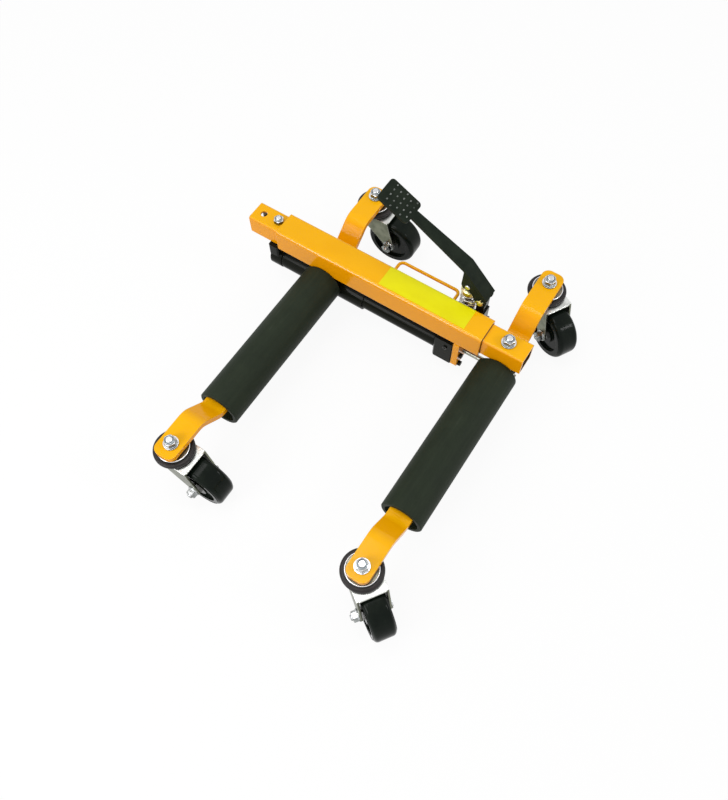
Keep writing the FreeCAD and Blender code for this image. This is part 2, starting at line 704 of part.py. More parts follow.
# The pedal lever: a spade-ended flat bar, bent down at its knee
slope = math.radians(arm_angle)
knee_x = fulcrum_x - knee_back
knee_z = fulcrum_z + knee_up
along_arm = Vector(-math.cos(slope), 0, math.sin(slope))
above_arm = Vector(math.sin(slope), 0, math.cos(slope))
knee_bisector = (slope + drop_angle) / 2
half_lever = lever_thickness / 2
# the bar's middle line lies half its thickness under the measured upper surface
knee_under = half_lever / math.cos((drop_angle - slope) / 2)
knee_middle = (knee_x - knee_under * math.sin(knee_bisector), knee_z - knee_under * math.cos(knee_bisector))
tip_middle = (knee_x + along_arm.x * arm_length - half_lever * math.sin(slope),
              knee_z + along_arm.z * arm_length - half_lever * math.cos(slope))
heel_middle = (fulcrum_x + heel_out - half_lever * math.sin(drop_angle),
               fulcrum_z + heel_up - half_lever * math.cos(drop_angle))
lever_face = bent_strip([tip_middle, knee_middle, heel_middle], lever_thickness, lever_bend_radius,
                        lambda p: Vector(p.x, lever_y0, p.y))
lever = lever_face.extrude(north * lever_width)
neck_x = knee_x + along_arm.x * (arm_length - pad_length)
lever_plan = [(tip_middle[0] - lever_thickness, lever_neck_width / 2), (neck_x, lever_neck_width / 2),
              (knee_x, lever_width / 2), (fulcrum_x + heel_out, lever_width / 2)]
lever_sides = ([Vector(x, pump_y + half, 0) for x, half in lever_plan]
               + [Vector(x, pump_y - half, 0) for x, half in reversed(lever_plan)])
lever_top_z = knee_z + arm_length
lever = lever.common(Part.Face(Part.makePolygon(lever_sides + lever_sides[:1])).extrude(up * lever_top_z))
pad_tip = Vector(knee_x, pump_y, knee_z) + along_arm * arm_length - above_arm * lever_thickness
pad = rounded_rectangle(pad_width, pad_length, pad_corner).extrude(up * lever_thickness)
pad.translate(Vector(0, -pad_length / 2, 0))
pad.Placement = Placement(pad_tip, Rotation(north, along_arm, above_arm)).multiply(pad.Placement)
parts["pedal_lever"] = lever.fuse(pad).removeSplitter()

studs = []
for row in range(stud_rows):
    stagger = stud_side_pitch / 4 if row % 2 == 0 else -stud_side_pitch / 4
    for place in range(stud_across):
        sideways = (place - (stud_across - 1) / 2) * stud_side_pitch + stagger
        inward = stud_margin + row * stud_pitch
        foot = Vector(knee_x, pump_y + sideways, knee_z) + along_arm * (arm_length - inward)
        studs.append(Part.makeCone(stud_radius, stud_top_radius, stud_height, foot, above_arm))
parts["grip_studs"] = Part.makeCompound(studs)

# The lever's cheeks under the knee, and the pin that pushes the plunger
under_knee = lever_thickness / math.cos((drop_angle - slope) / 2)
knee_inside = (knee_x - under_knee * math.sin(knee_bisector), knee_z - under_knee * math.cos(knee_bisector))
heel_inside = (fulcrum_x + heel_out - lever_thickness * math.sin(drop_angle),
               fulcrum_z + heel_up - lever_thickness * math.cos(drop_angle))
# the bend's inner arc cuts the corner, so the cheeks start clear of it
bend_cut = (lever_bend_radius + half_lever) * math.tan((drop_angle - slope) / 2)
bend_way = Vector(math.cos(drop_angle), 0, -math.sin(drop_angle))
cheek_top = (knee_inside[0] + bend_way.x * bend_cut, knee_inside[1] + bend_way.z * bend_cut)
cheek_left_x = push_pin_x - push_pin_radius - cheek_reach
cheek_low_z = push_pin_z - cheek_below_pin
cheek_outline = [cheek_top, heel_inside, (fulcrum_x + cheek_boss_radius, fulcrum_z),
                 (fulcrum_x - cheek_boss_radius, fulcrum_z), (push_pin_x + push_pin_radius, cheek_low_z),
                 (cheek_left_x + cheek_reach / 2, cheek_low_z), (cheek_left_x, cheek_low_z + cheek_reach)]
cheeks = []
for y in (lever_y0, lever_y1 - cheek_thickness):
    pivot = Vector(fulcrum_x, y, fulcrum_z)
    boss = rod(pivot, north, cheek_boss_radius, cheek_thickness)
    cheek = prism(cheek_outline, y, y + cheek_thickness).fuse(boss).removeSplitter()
    cheeks.append(cheek.cut([
        rod(pivot, north, fulcrum_pin_radius + running_gap, cheek_thickness),
        rod(Vector(push_pin_x, y, push_pin_z), north, push_pin_radius + fit_gap, cheek_thickness)]))
parts["lever_cheeks"] = Part.makeCompound(cheeks)
push_pin_start = Vector(push_pin_x, lever_y0 - pin_end, push_pin_z)
push_pin = rod(push_pin_start, north, push_pin_radius, lever_width + 2 * pin_end)
push_pin_ends = [e for e in push_pin.Edges if e.BoundBox.YLength < pick]
parts["plunger_pin"] = push_pin.makeChamfer(chamfer, push_pin_ends)

# The casters: what is fixed to the arms
stem_start_z = shoulder_bottom_z - swivel_gap
stem_length = arm_top_z - stem_start_z + washer_thickness + stem_nut_height + stem_end
for side, x in (("left", left_arm_x), ("right", right_arm_x)):
    stem_bolts = []
    races = []
    rings = []
    for y in (front_stem_y, rear_stem_y):
        foot = Vector(x, y, 0)
        nut_foot = foot + up * (arm_top_z + washer_thickness)
        stem_bolts.append(bolt(foot + up * stem_start_z, up, stem_radius, stem_length, stem_across,
                               stem_head_height))
        stem_bolts.append(ring(foot + up * arm_top_z, up, stem_washer_radius, stem_radius,
                               washer_thickness))
        stem_bolts.append(nut(nut_foot, up, stem_across, stem_nut_height, stem_radius))
        race = ring(foot + up * race_bottom_z, up, race_radius, stem_radius + bolt_gap, race_thickness)
        boss_foot = foot + up * (race_bottom_z + race_thickness)
        boss = ring(boss_foot, up, race_boss_radius, stem_radius + bolt_gap, race_boss_height)
        races.append(race.fuse(boss).removeSplitter())
        dust_ring = ring(foot + up * ring_bottom_z, up, ring_radius, race_radius + bolt_gap, ring_height)
        circles = [e for e in dust_ring.Edges if e.BoundBox.ZLength < pick]
        outer_circles = [e for e in circles if e.BoundBox.XLength > 2 * ring_radius - pick]
        rings.append(dust_ring.makeFillet(ring_round, outer_circles))
    parts[side + "_stem_bolts"] = Part.makeCompound(stem_bolts)
    parts[side + "_top_races"] = Part.makeCompound(races)
    parts[side + "_dust_rings"] = Part.makeCompound(rings)


# The casters: fork, axle, wheel and bush, made with the trail along +X
axle_at = Vector(caster_trail, 0, wheel_radius)


def caster_fork():
    """A pressed fork: shoulder and neck under the race, and two legs down to the axle."""
    shoulder = rod(up * shoulder_bottom_z, up, fork_shoulder_radius, fork_shoulder_thickness)
    neck_part = rod(up * shoulder_top_z, up, fork_neck_radius, fork_neck_height)
    fork = shoulder.fuse(neck_part)
    back = math.sqrt(fork_shoulder_radius ** 2 - leg_outer ** 2)
    for y in (-leg_outer, leg_inner):
        outline = [(-back, shoulder_top_z), (fork_hood_reach, shoulder_top_z),
                   (caster_trail + fork_eye_radius, wheel_radius),
                   (caster_trail - fork_eye_radius, wheel_radius),
                   (-back, shoulder_bottom_z - fork_eye_radius)]
        leg = prism(outline, y, y + fork_plate)
        eye = rod(Vector(caster_trail, y, wheel_radius), north, fork_eye_radius, fork_plate)
        fork = fork.fuse([leg, eye])
    cover = box(-back, fork_hood_reach, -leg_outer, leg_outer, shoulder_bottom_z, shoulder_top_z)
    fork = fork.fuse(cover).removeSplitter()
    axle_hole = rod(axle_at - north * leg_outer, north, axle_radius + fit_gap, 2 * leg_outer)
    stem_hole = rod(up * shoulder_bottom_z, up, stem_radius + rod_clearance, neck_top_z - shoulder_bottom_z)
    return fork.cut([axle_hole, stem_hole])


def caster_axle():
    """A round-headed bolt through both legs, with its washer and nut."""
    under_head = axle_at + north * leg_outer
    length = 2 * leg_outer + washer_thickness + axle_nut_height + axle_end
    shank = rod(under_head, -north, axle_radius, length - chamfer)
    tip_start = under_head - north * (length - chamfer)
    tip = Part.makeCone(axle_radius, axle_radius - chamfer, chamfer, tip_start, -north)
    head = rod(under_head, north, axle_head_radius, axle_head_height)
    nut_side = axle_at - north * leg_outer
    washer = ring(nut_side, -north, axle_washer_radius, axle_radius, washer_thickness)
    end_nut = nut(nut_side - north * washer_thickness, -north, axle_across, axle_nut_height, axle_radius)
    return Part.makeCompound([head.fuse([shank, tip]).removeSplitter(), washer, end_nut])


def caster_wheel():
    """A moulded wheel: rounded tread, recessed webs and a hub."""
    half = wheel_width / 2
    rim = wheel_radius - tread_depth
    hub_face = half - hub_inset
    web = half - web_recess
    crown = wheel_radius - tyre_round
    sweep = tyre_round * math.sqrt(0.5)
    edges = []

    def run(*points):
        for (a, b), (c, d) in zip(points, points[1:]):
            edges.append(Part.LineSegment(Vector(0, a, b), Vector(0, c, d)).toShape())

    run((-half + tyre_round, wheel_radius), (half - tyre_round, wheel_radius))
    edges.append(Part.Arc(Vector(0, half - tyre_round, wheel_radius),
                          Vector(0, half - tyre_round + sweep, crown + sweep),
                          Vector(0, half, crown)).toShape())
    run((half, crown), (half, rim), (web, rim), (web, hub_radius), (hub_face, hub_radius),
        (hub_face, bush_radius), (-hub_face, bush_radius), (-hub_face, hub_radius), (-web, hub_radius),
        (-web, rim), (-half, rim), (-half, crown))
    edges.append(Part.Arc(Vector(0, -half, crown), Vector(0, -half + tyre_round - sweep, crown + sweep),
                          Vector(0, -half + tyre_round, wheel_radius)).toShape())
    wheel = Part.Face(Part.Wire(edges)).revolve(Vector(0, 0, 0), north, 360)
    wheel.translate(axle_at)
    return wheel


def caster_bush():
    """The flanged steel sleeve pressed into the wheel, which turns on the axle."""
    half = leg_inner - swivel_gap
    hub_face = wheel_width / 2 - hub_inset + fit_gap
    bore = axle_radius + running_gap
    bush = ring(axle_at - north * half, north, bush_radius, bore, 2 * half)
    flanges = [ring(axle_at + way * hub_face, way, bush_flange_radius, bore, half - hub_face)
               for way in (north, -north)]
    return bush.fuse(flanges).removeSplitter()


caster_pieces = {"fork": caster_fork, "axle": caster_axle, "wheel": caster_wheel,
                 "wheel_bush": caster_bush}
stems = {"front_left": (left_arm_x, front_stem_y), "front_right": (right_arm_x, front_stem_y),
         "rear_left": (left_arm_x, rear_stem_y), "rear_right": (right_arm_x, rear_stem_y)}
trail_angles = {"front_left": front_left_trail_angle, "front_right": front_right_trail_angle,
                "rear_left": rear_left_trail_angle, "rear_right": rear_right_trail_angle}
for corner, (x, y) in stems.items():
    turned = Placement(Vector(x, y, 0), Rotation(up, trail_angles[corner]))
    for piece, make in caster_pieces.items():
        shape = make()
        shape.Placement = turned.multiply(shape.Placement)
        parts[corner + "_" + piece] = shape

os.makedirs("parts", exist_ok=True)
for name, shape in parts.items():
    if not shape.isValid():
        print("not valid:", name)
    shape.exportStep(os.path.join("parts", name + ".step"))
whole = Part.makeCompound(list(parts.values())).optimalBoundingBox(False)
print("nodes:", len(parts))
limits = (whole.XMin, whole.XMax, whole.YMin, whole.YMax, whole.ZMin, whole.ZMax)
print("box:", [round(v, 2) for v in limits])
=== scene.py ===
import json
import math

import bpy
from mathutils import Matrix, Vector


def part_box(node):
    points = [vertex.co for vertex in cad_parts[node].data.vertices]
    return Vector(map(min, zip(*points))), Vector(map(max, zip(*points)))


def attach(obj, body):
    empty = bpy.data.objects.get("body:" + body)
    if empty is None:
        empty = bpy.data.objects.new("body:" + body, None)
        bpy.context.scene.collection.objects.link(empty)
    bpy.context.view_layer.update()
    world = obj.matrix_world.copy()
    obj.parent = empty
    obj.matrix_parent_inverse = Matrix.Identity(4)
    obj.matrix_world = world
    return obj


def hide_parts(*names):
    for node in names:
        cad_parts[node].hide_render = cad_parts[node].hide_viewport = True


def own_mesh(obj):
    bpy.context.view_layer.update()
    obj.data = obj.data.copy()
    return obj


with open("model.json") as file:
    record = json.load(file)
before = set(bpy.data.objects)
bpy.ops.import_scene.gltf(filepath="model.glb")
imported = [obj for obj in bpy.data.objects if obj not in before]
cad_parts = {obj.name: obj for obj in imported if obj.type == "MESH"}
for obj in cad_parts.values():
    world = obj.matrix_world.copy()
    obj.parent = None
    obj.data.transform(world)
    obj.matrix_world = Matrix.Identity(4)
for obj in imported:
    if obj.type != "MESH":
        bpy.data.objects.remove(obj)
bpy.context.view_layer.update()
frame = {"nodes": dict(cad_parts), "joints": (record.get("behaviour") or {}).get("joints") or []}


# The telescoping tube: square steel tube with a smaller one sliding in its right end and a stub welded
# into its left end. All three are sprayed orange-yellow, with the slight ripple of enamel that ran a little
# before it set, paler paint along the corners that is partly thin paint and partly painted highlight, and a
# deeper orange painted on upright faces as painted shade.
class Wire:
    """An output socket in a finish. Sums and products of wires, or of wires and numbers, add Math nodes."""

    def __init__(self, socket):
        self.socket = socket

    def add(self, kind, settings, inputs, output=0):
        """A new node in the same finish: its settings first, then its sockets' values or links."""
        tree = self.socket.id_data
        node = tree.nodes.new(kind)
        for key, value in settings.items():
            if key == "stops":
                ramp = node.color_ramp.elements
                while len(ramp) < len(value):
                    ramp.new(1)
                for stop, (position, colour) in zip(ramp, value):
                    stop.position = position
                    stop.color = (*colour, 1)
            else:
                setattr(node, key, value)
        for key, value in inputs.items():
            if isinstance(value, Wire):
                tree.links.new(value.socket, node.inputs[key])
            else:
                node.inputs[key].default_value = value
        return Wire(node.outputs[output])

    def sum(self, operation, first, second):
        return self.add("ShaderNodeMath", {"operation": operation}, {0: first, 1: second})

    def __add__(self, other):
        return self.sum("ADD", self, other)

    __radd__ = __add__

    def __sub__(self, other):
        return self.sum("SUBTRACT", self, other)

    def __rsub__(self, other):
        return self.sum("SUBTRACT", other, self)

    def __mul__(self, other):
        return self.sum("MULTIPLY", self, other)

    __rmul__ = __mul__

    def __truediv__(self, other):
        return self.sum("DIVIDE", self, other)

    def __gt__(self, other):
        return self.sum("GREATER_THAN", self, other)

    def stretched(self, x, y, z):
        return self.add("ShaderNodeVectorMath", {"operation": "MULTIPLY"}, {0: self, 1: (x, y, z)})

    def noise(self, scale, detail=2.0, roughness=0.5):
        return self.add("ShaderNodeTexNoise", {},
                        {"Vector": self, "Scale": scale, "Detail": detail, "Roughness": roughness})

    def between(self, low, high):
        """0 below low, 1 above high, and smooth between them."""
        return self.add("ShaderNodeMapRange", {"interpolation_type": "SMOOTHSTEP"},
                        {"Value": self, "From Min": low, "From Max": high})

    def tint(self, first, second):
        """first where this wire is 0, second where it is 1: colours, or wires of colours."""
        colours = [c if isinstance(c, Wire) else (*c, 1) for c in (first, second)]
        return self.add("ShaderNodeMix", {"data_type": "RGBA"},
                        {"Factor": self, "A": colours[0], "B": colours[1]}, "Result")


def new_finish(name):
    """A material with its shader, and the wire of places on the piece in metres."""
    material = bpy.data.materials.new(name)
    material.use_nodes = True
    shader = material.node_tree.nodes["Principled BSDF"]
    place = Wire(material.node_tree.nodes.new("ShaderNodeTexCoord").outputs["Object"])
    return material, shader, place


def lay(shader, channels):
    """Sets or links the shader's sockets."""
    for name, value in channels.items():
        if isinstance(value, Wire):
            shader.id_data.links.new(value.socket, shader.inputs[name])
        else:
            shader.inputs[name].default_value = value


def broken_edges(place, radius):
    """The rounded normal of broken edges, and how strongly each place lies on such an edge."""
    rounded = place.add("ShaderNodeBevel", {"samples": 6}, {"Radius": radius})
    flat = place.add("ShaderNodeNewGeometry", {}, {}, "Normal")
    along = place.add("ShaderNodeVectorMath", {"operation": "DOT_PRODUCT"}, {0: rounded, 1: flat}, "Value")
    return rounded, 1 - along


def relief(height, depth, normal):
    """A bumped normal."""
    return height.add("ShaderNodeBump", {}, {"Height": height, "Distance": depth, "Normal": normal})


def facing_up(place, low, high):
    """1 where the piece faces the sky, 0 where it stands upright or faces down. It sets painted light on
    tops and painted shade on sides.
    """
    normal = place.add("ShaderNodeNewGeometry", {}, {}, "Normal")
    return normal.add("ShaderNodeSeparateXYZ", {}, {"Vector": normal}, "Z").between(low, high)


def enamel(name, colour, shade, side, bright, roughness, edge, sheen, rolled=0, hollow=None):
    """Sprayed enamel over steel: colour with patches of shade, a deeper side colour painted on upright faces
    as painted shade, and bright along the broken edges, partly worn thin paint and partly painted highlight.
    rolled is the gloss of the thick paint on a tube's rolled corners, and hollow is a tube's axis and its
    half width inside, where the bore is coloured a darker brown."""
    material, shader, place = new_finish(name)
    rounded, on_edge = broken_edges(place, edge)
    patches = place.noise(11, 4, 0.6)
    ripple = place.noise(520, 2)
    dust = place.noise(2600, 1).between(0.72, 0.8)
    thin_paint_and_highlight = (on_edge * (0.6 + patches)).between(0.04, 0.3)
    # Painted shade: upright faces take the deeper side colour instead of the top colour.
    body = facing_up(place, 0.5, 0.98).tint(side, patches.between(0.35, 0.75).tint(colour, shade))
    # The pale edges are partly worn thin paint and partly a painted highlight.
    paint = (dust * 0.25).tint((thin_paint_and_highlight * 0.7).tint(body, bright), shade)
    if hollow:
        # Inside the bore the colour turns a darker brown.
        axis, half = hollow
        offset = place.add("ShaderNodeVectorMath", {"operation": "SUBTRACT"}, {0: place, 1: axis})
        across = offset.add("ShaderNodeVectorMath", {"operation": "ABSOLUTE"}, {0: offset})
        wide = across.add("ShaderNodeSeparateXYZ", {}, {"Vector": across}, "Y")
        high = across.add("ShaderNodeSeparateXYZ", {}, {"Vector": across}, "Z")
        outside_bore = wide.sum("MAXIMUM", wide, high).between(half, half + 0.0004)
        scale = place.noise(240, 3, 0.6)
        paint = outside_bore.tint(scale.tint((0.05, 0.03, 0.012), (0.11, 0.06, 0.02)), paint)
    normal = place.add("ShaderNodeNewGeometry", {}, {}, "Normal")
    lean = normal.add("ShaderNodeVectorMath", {"operation": "ABSOLUTE"}, {0: normal})
    lean_x, lean_y, lean_z = (lean.add("ShaderNodeSeparateXYZ", {}, {"Vector": lean}, axis)
                              for axis in "XYZ")
    flat = lean_x.sum("MAXIMUM", lean_x, lean_y.sum("MAXIMUM", lean_y, lean_z))
    thick = (1 - flat).between(0.02, 0.2) * rolled
    lay(shader, {
        "Base Color": paint,
        "Roughness": roughness + patches * 0.1 + dust * 0.2,
        "Specular IOR Level": sheen,
        "Coat Weight": sheen * 0.3 + thin_paint_and_highlight * 0.5 + thick,
        "Coat Roughness": 0.1,
        "Normal": relief(ripple + dust * 0.4, 0.00006, rounded),
    })
    return material


def dress(material, *names):
    """Gives CAD pieces a finish."""
    for name in names:
        slots = frame["nodes"][name].data.materials
        slots.clear()
        slots.append(material)


tube_low, tube_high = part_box("outer_tube")
tube_mid_y = (tube_low.y + tube_high.y) / 2
tube_mid_z = (tube_low.z + tube_high.z) / 2
bore_half = 0.0177
# The yellows are the top colour, a second tone for random patches, a deeper orange painted on upright faces
# as painted shade, and the pale edge colour, partly wear and partly painted highlight.
yellow_colours = (0.95, 0.465, 0.002), (0.91, 0.425, 0.0), (0.90, 0.35, 0.0), (1.0, 0.66, 0.12)
yellow_enamel = enamel("yellow_enamel", *yellow_colours, 0.1, 0.0014, 0.14)
tube_hollow = ((0, tube_mid_y, tube_mid_z), bore_half)
tube_enamel = enamel("tube_enamel", *yellow_colours, 0.1, 0.0014, 0.14, 0.9, tube_hollow)
soft_corner = 0.002
dress(enamel("outer_enamel", *yellow_colours, 0.1, soft_corner, 0.14, 0.9), "outer_tube")
dress(yellow_enamel, "arm_spacer")
dress(tube_enamel, "fixed_stub", "inner_tube")


# The blank film on the tube's top: a bare lemon-yellow sticker that runs from the flat over the back corner.
# It is thin vinyl with a satin face, pressed on by hand, so faint creases and bubbles catch the light.
def shape(name, points, faces, material, body, smooth=True):
    """A piece from its points and faces, in metres, riding on a body."""
    mesh = bpy.data.meshes.new(name)
    mesh.from_pydata([tuple(p) for p in points], [], faces)
    mesh.polygons.foreach_set("use_smooth", [smooth] * len(mesh.polygons))
    mesh.materials.append(material)
    piece = bpy.data.objects.new(name, mesh)
    bpy.context.scene.collection.objects.link(piece)
    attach(piece, body)
    return piece


film_from_tube_end = 0.222
film_length = 0.175
film_half_flat = 0.0205
film_lift = 0.00015
film_left = tube_low.x + film_from_tube_end
film_front = tube_mid_y - film_half_flat
corner_radius = 0.006
corner_y = tube_high.y - corner_radius
corner_z = tube_high.z - corner_radius
flat_steps = 6
wrap_steps = 7
wrap_step = math.radians(9)
film_line = [(film_front + (corner_y - film_front) * k / flat_steps, tube_high.z + film_lift)
             for k in range(flat_steps + 1)]
for step in range(1, wrap_steps + 1):
    lean = wrap_step * step
    film_line.append((corner_y + (corner_radius + film_lift) * math.sin(lean),
                      corner_z + (corner_radius + film_lift) * math.cos(lean)))
film_columns = 16
film_points = [(film_left + film_length * k / film_columns, y, z)
               for k in range(film_columns + 1) for y, z in film_line]
film_rows = len(film_line)
film_faces = [(k * film_rows + r, (k + 1) * film_rows + r,
               (k + 1) * film_rows + r + 1, k * film_rows + r + 1)
              for k in range(film_columns) for r in range(film_rows - 1)]

lemon_film, film_shader, film_place = new_finish("lemon_film")
film_patches = film_place.noise(24, 3)
film_creases = film_place.stretched(1, 2.5, 1).noise(60, 3, 0.6)
film_grain = film_place.noise(1500, 1)
lay(film_shader, {
    "Base Color": film_patches.between(0.3, 0.8).tint((0.85, 0.79, 0.0), (0.79, 0.71, 0.0)),
    "Roughness": 0.3 + film_grain * 0.12,
    "Specular IOR Level": 0.25,
    "Normal": film_creases.add("ShaderNodeBump", {},
                               {"Height": film_creases + film_grain * 0.05, "Distance": 0.0003}),
})
film = shape("blank_film", film_points, film_faces, lemon_film, "frame")


# The cross arms: 10 mm flat bar, bent up at both ends where the casters bolt on, in the tube's enamel.
# The left arm is welded under the tube, and the right one is bolted under the sliding head.
dress(yellow_enamel, "left_arm", "right_arm")


def swept(name, path, radii, material, body, closed=False, sides=10):
    """A round wire or bead along a path, with a radius for each point."""
    count = len(path)
    points = []
    aside = None
    for k, point in enumerate(path):
        before = path[(k - 1) % count] if closed or k > 0 else point
        after = path[(k + 1) % count] if closed or k < count - 1 else point
        way = (after - before).normalized()
        aside = aside or way.orthogonal()
        aside = (aside - way * aside.dot(way)).normalized()
        other = way.cross(aside)
        for s in range(sides):
            turn = 2 * math.pi * s / sides
            points.append(point + (aside * math.cos(turn) + other * math.sin(turn)) * radii[k])
    faces = []
    for k in range(count if closed else count - 1):
        a, b = k * sides, (k + 1) % count * sides
        faces += [(a + s, a + (s + 1) % sides, b + (s + 1) % sides, b + s) for s in range(sides)]
    if not closed:
        faces += [tuple(reversed(range(sides))), tuple(range((count - 1) * sides, count * sides))]
    return shape(name, points, faces, material, body)


def weld_bead(name, start, end, radius, body):
    """A fillet weld between two points, rippled as it was laid, and painted over."""
    length = (end - start).length
    count = max(8, round(length / 0.0007))
    path = [start.lerp(end, k / count) for k in range(count + 1)]
    radii = []
    for k in range(count + 1):
        ripple = abs(math.sin(math.pi * k * length / count / 0.0026))
        taper = min(1, (min(k, count - k) + 1.5) / 4)
        radii.append(radius * taper * (0.82 + 0.18 * ripple))
    bead = swept(name, path, radii, yellow_enamel, body)
    return bead


arm_low, arm_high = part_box("left_arm")
arm_bead = 0.0028
arm_bead_inset = 0.004
arm_bead_z = tube_low.z - 0.0006
for side, x in (("left", arm_low.x), ("right", arm_high.x)):
    weld_bead(f"arm_weld_{side}", Vector((x, tube_low.y + arm_bead_inset, arm_bead_z)),
              Vector((x, tube_high.y - arm_bead_inset, arm_bead_z)), arm_bead, "frame")
stub_low, stub_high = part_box("fixed_stub")
stub_corners = [(stub_low.y, stub_low.z), (stub_high.y, stub_low.z),
                (stub_high.y, stub_high.z), (stub_low.y, stub_high.z)]
stub_bead = 0.0016
stub_bead_inset = 0.005
for k, (y, z) in enumerate(stub_corners):
    next_y, next_z = stub_corners[(k + 1) % 4]
    along = Vector((0, next_y - y, next_z - z)).normalized() * stub_bead_inset
    weld_bead(f"stub_weld_{k}", Vector((tube_low.x, y, z)) + along,
              Vector((tube_low.x, next_y, next_z)) - along, stub_bead, "frame")


# The sliding tube's mouth: a thin dark brown ring in the narrow gap at the outer tube's right end, a painted
# shadow that draws the gap's shade as a dark line.
painted_gap_shadow, gap_shadow_shader, gap_shadow_place = new_finish("painted_gap_shadow")
gap_shadow_tone = gap_shadow_place.noise(300, 3, 0.6)
lay(gap_shadow_shader, {
    "Base Color": gap_shadow_tone.tint((0.05, 0.022, 0.002), (0.13, 0.055, 0.004)),
    "Roughness": 0.35 + gap_shadow_tone * 0.3,
    "Normal": gap_shadow_tone.add("ShaderNodeBump", {}, {"Height": gap_shadow_tone, "Distance": 0.0003}),
})
slide_low, slide_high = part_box("inner_tube")
mouth_corner = 0.0045
mouth_x = tube_high.x + 0.0002
gap_shadow_radius = 0.0009
mouth_line = []
for y, z, quarter in ((slide_high.y, slide_high.z, 0), (slide_low.y, slide_high.z, 1),
                      (slide_low.y, slide_low.z, 2), (slide_high.y, slide_low.z, 3)):
    inset_y = -mouth_corner if quarter in (0, 3) else mouth_corner
    inset_z = -mouth_corner if quarter in (0, 1) else mouth_corner
    for step in range(5):
        angle = (quarter + step / 4) * math.pi / 2
        mouth_line.append(Vector((mouth_x, y + inset_y + mouth_corner * math.cos(angle),
                                  z + inset_z + mouth_corner * math.sin(angle))))
gap_shadow_line = swept("painted_gap_shadow", mouth_line, [gap_shadow_radius] * len(mouth_line), painted_gap_shadow, "frame",
               closed=True, sides=6)


# The rollers: thick steel tube with a dull black phosphate skin, loose on the arms so that a tyre turns
# them. Handling leaves faint streaks along them, and the cut ends are rubbed a little paler.
roller_skin, roller_shader, roller_place = new_finish("roller_skin")
roller_round, roller_edge = broken_edges(roller_place, 0.0016)
roller_streaks = roller_place.stretched(1, 0.06, 1).noise(170, 4, 0.65)
roller_clouds = roller_place.noise(22, 5, 0.65)
roller_grain = roller_place.noise(1400, 2)
roller_drift = (roller_clouds * 0.6 + roller_streaks * 0.4).between(0.3, 0.7)
roller_body = roller_drift.tint((0.009, 0.015, 0.007), (0.017, 0.025, 0.013))
roller_scuffs = (roller_streaks * roller_clouds).between(0.36, 0.46) * 0.5
roller_rubbed = roller_edge.between(0.03, 0.3) * 0.7 + roller_scuffs * 0.35
lay(roller_shader, {
    "Base Color": roller_rubbed.tint(roller_body, (0.06, 0.066, 0.05)),
    "Roughness": 0.5 + roller_clouds * 0.2 - roller_scuffs * 0.1,
    "Specular IOR Level": 0.18,
    "Normal": relief(roller_grain + roller_streaks * 0.5, 0.00012, roller_round),
})
dress(roller_skin, "left_roller", "right_roller")


# The ram and its pump block: a black-painted hydraulic cylinder under the tube, the pump's forged block with
# its release screw, the bracket that anchors the ram, and the yellow lug that takes its pull.
# As for the yellow: the third black is painted shade on upright faces, and the fourth the pale edge colour,
# partly wear and partly painted highlight.
black_colours = (0.010, 0.011, 0.009), (0.006, 0.007, 0.006), (0.009, 0.010, 0.007), (0.05, 0.05, 0.045)
black_enamel = enamel("black_enamel", *black_colours, 0.1, 0.0012, 0.06)
dress(black_enamel, "ram_bracket", "ram_end_cap", "ram_cylinder", "ram_reservoir", "pump_block",
      "pump_barrel", "fulcrum_post", "rod_anchor", "lug_screws")
dress(yellow_enamel, "reaction_lug")


def plated(name, colour, tarnish, roughness, spangle, edge):
    """Plated steel: colour with cloudy tarnish, and a spangle of the given depth."""
    material, shader, place = new_finish(name)
    rounded = broken_edges(place, edge)[0]
    clouds = place.noise(70, 4, 0.6)
    grain = place.noise(900, 2)
    lay(shader, {
        "Base Color": clouds.between(0.4, 0.75).tint(colour, tarnish),
        "Metallic": 1.0,
        "Roughness": roughness + clouds * 0.12 + grain * 0.06,
        "Normal": relief(grain, spangle, rounded),
    })
    return material


ground_steel = plated("ground_steel", (0.62, 0.62, 0.61), (0.42, 0.41, 0.39), 0.2, 0.00004, 0.0006)
dress(ground_steel, "rod_gland", "piston", "plunger_pin")
oiled_steel = plated("oiled_steel", (0.34, 0.34, 0.29), (0.20, 0.20, 0.17), 0.16, 0.00002, 0.0007)
dress(oiled_steel, "piston_rod", "pump_plunger")
black_oxide = plated("black_oxide", (0.07, 0.07, 0.065), (0.03, 0.03, 0.03), 0.2, 0.00003, 0.0006)
dress(black_oxide, "release_valve")
bright_plate = plated("bright_plate", (0.83, 0.84, 0.86), (0.62, 0.63, 0.65), 0.08, 0.00002, 0.0007)
dress(bright_plate, "rod_nuts")

seal_rubber, seal_shader, seal_place = new_finish("seal_rubber")
seal_grain = seal_place.noise(1800, 2)
lay(seal_shader, {
    "Base Color": seal_grain.tint((0.012, 0.012, 0.012), (0.03, 0.03, 0.03)),
    "Roughness": 0.5 + seal_grain * 0.15,
})
dress(seal_rubber, "piston_seal")

lug_low, lug_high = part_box("reaction_lug")
lug_bead = 0.0024
lug_bead_inset = 0.003
for side, y in (("front", lug_low.y + lug_bead_inset), ("back", lug_high.y - lug_bead_inset)):
    weld_bead(f"lug_weld_{side}", Vector((lug_low.x, y, lug_high.z)), Vector((lug_high.x, y, lug_high.z)),
              lug_bead, "frame")


